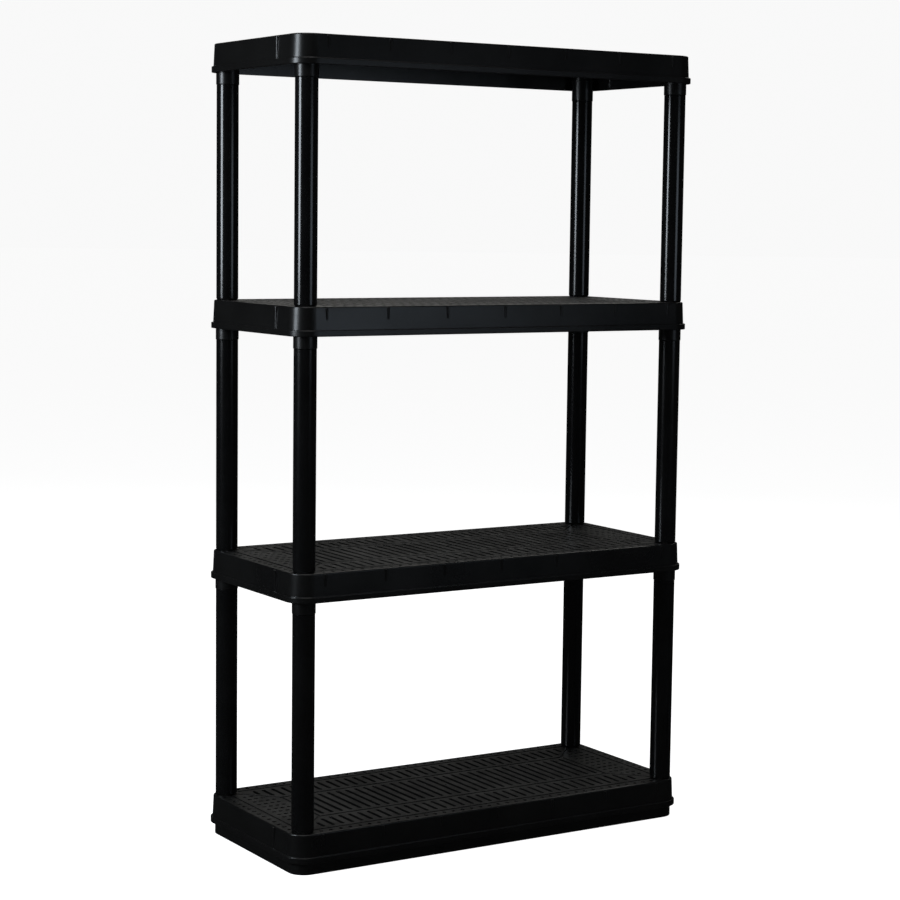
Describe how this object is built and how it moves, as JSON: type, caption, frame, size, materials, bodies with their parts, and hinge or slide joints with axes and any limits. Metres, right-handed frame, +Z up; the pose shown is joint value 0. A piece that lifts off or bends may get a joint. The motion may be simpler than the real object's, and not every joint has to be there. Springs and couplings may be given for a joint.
{
  "type": "shelving unit",
  "caption": "Free-standing moulded-plastic shelving unit with ventilated trays on round tubular posts, pushed together without bolts.",
  "frame": {"origin": "centre of the footprint, on the floor", "axes": "+Z up; +X along the long side; +Y from the front to the back"},
  "size_m": [0.711, 0.305, 1.219],
  "materials": {
    "tray_plastic": "fine satin",
    "post_plastic": "semi-gloss"
  },
  "bodies": {
    "base_tray": {"bottom_shelf": "tray_plastic"},
    "lower_posts": {"lower_post_front_left": "post_plastic", "lower_post_front_right": "post_plastic", "lower_post_back_left": "post_plastic", "lower_post_back_right": "post_plastic"},
    "lower_middle_tray": {"lower_middle_shelf": "tray_plastic"},
    "middle_posts": {"middle_post_front_left": "post_plastic", "middle_post_front_right": "post_plastic", "middle_post_back_left": "post_plastic", "middle_post_back_right": "post_plastic"},
    "upper_middle_tray": {"upper_middle_shelf": "tray_plastic"},
    "upper_posts": {"upper_post_front_left": "post_plastic", "upper_post_front_right": "post_plastic", "upper_post_back_left": "post_plastic", "upper_post_back_right": "post_plastic"},
    "top_tray": {"top_shelf": "tray_plastic"}
  },
  "joints": [
    {"name": "lower_posts_lift", "type": "slide", "parent": "base_tray", "child": "lower_posts", "axis": [0, 0, 1], "range_m": [0, 0.034]},
    {"name": "lower_middle_tray_lift", "type": "slide", "parent": "lower_posts", "child": "lower_middle_tray", "axis": [0, 0, 1], "range_m": [0, 0.038]},
    {"name": "middle_posts_lift", "type": "slide", "parent": "lower_middle_tray", "child": "middle_posts", "axis": [0, 0, 1], "range_m": [0, 0.034]},
    {"name": "upper_middle_tray_lift", "type": "slide", "parent": "middle_posts", "child": "upper_middle_tray", "axis": [0, 0, 1], "range_m": [0, 0.038]},
    {"name": "upper_posts_lift", "type": "slide", "parent": "upper_middle_tray", "child": "upper_posts", "axis": [0, 0, 1], "range_m": [0, 0.034]},
    {"name": "top_tray_lift", "type": "slide", "parent": "upper_posts", "child": "top_tray", "axis": [0, 0, 1], "range_m": [0, 0.038]}
  ]
}
